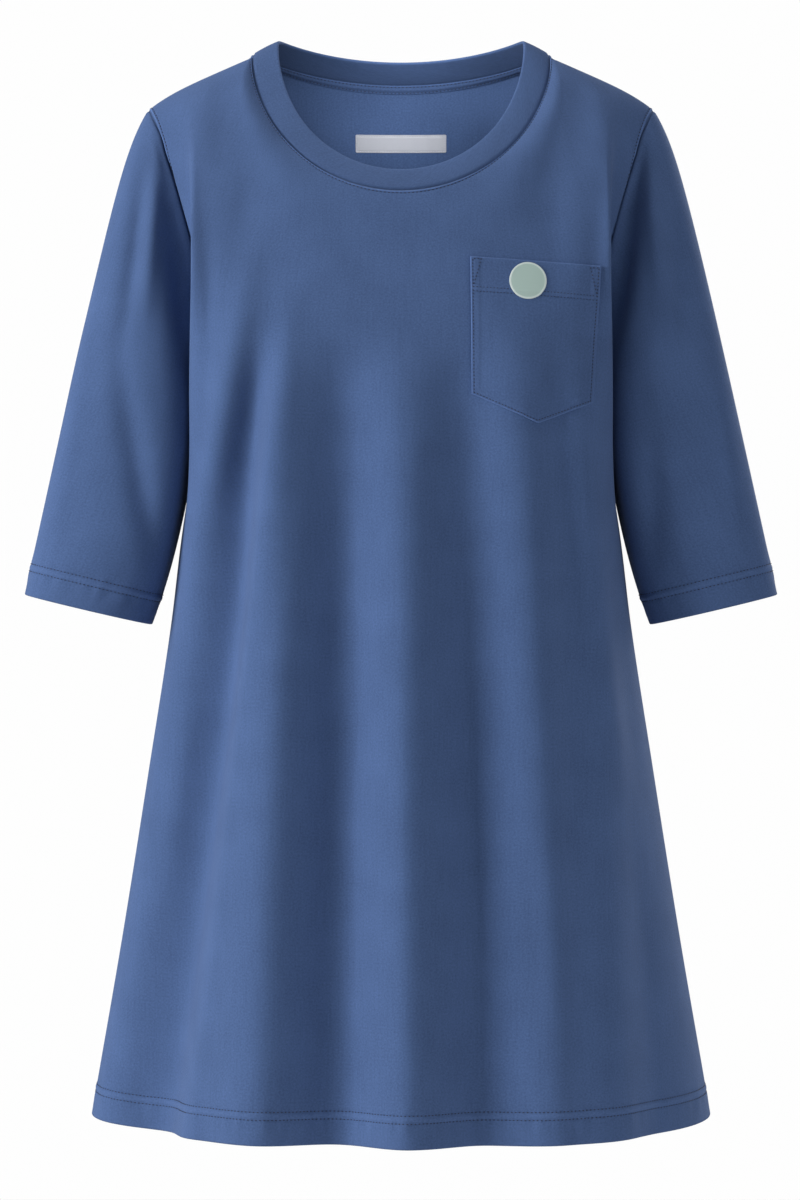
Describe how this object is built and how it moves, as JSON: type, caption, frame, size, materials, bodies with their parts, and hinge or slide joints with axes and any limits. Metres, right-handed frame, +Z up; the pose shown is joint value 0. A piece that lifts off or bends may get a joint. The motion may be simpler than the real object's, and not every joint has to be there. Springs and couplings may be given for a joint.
{
  "type": "nursing shirt",
  "caption": "A-line jersey nursing shirt with a round neckband, three-quarter sleeves and a chest pocket, in its worn hollow form.",
  "frame": {"origin": "midway between the two points where the shoulder seams meet the neckband, where the wearer's shoulders hold the shirt", "axes": "+Z up along the body, +X to the wearer's left, -Y out of the front"},
  "size_m": [0.6356, 0.3529, 0.9175],
  "materials": {
    "blue_jersey": "matt fine cotton jersey, faintly brushed",
    "sage_transfer": "smooth matt transfer",
    "pale_label": "fine woven satin label"
  },
  "bodies": {
    "root": {"front_panel": "blue_jersey", "back_panel": "blue_jersey", "sleeve_left": "blue_jersey", "sleeve_right": "blue_jersey", "neckband": "blue_jersey", "neck_tape": "blue_jersey", "chest_pocket": "blue_jersey", "pocket_badge": "sage_transfer", "name_label": "pale_label"}
  },
  "joints": []
}
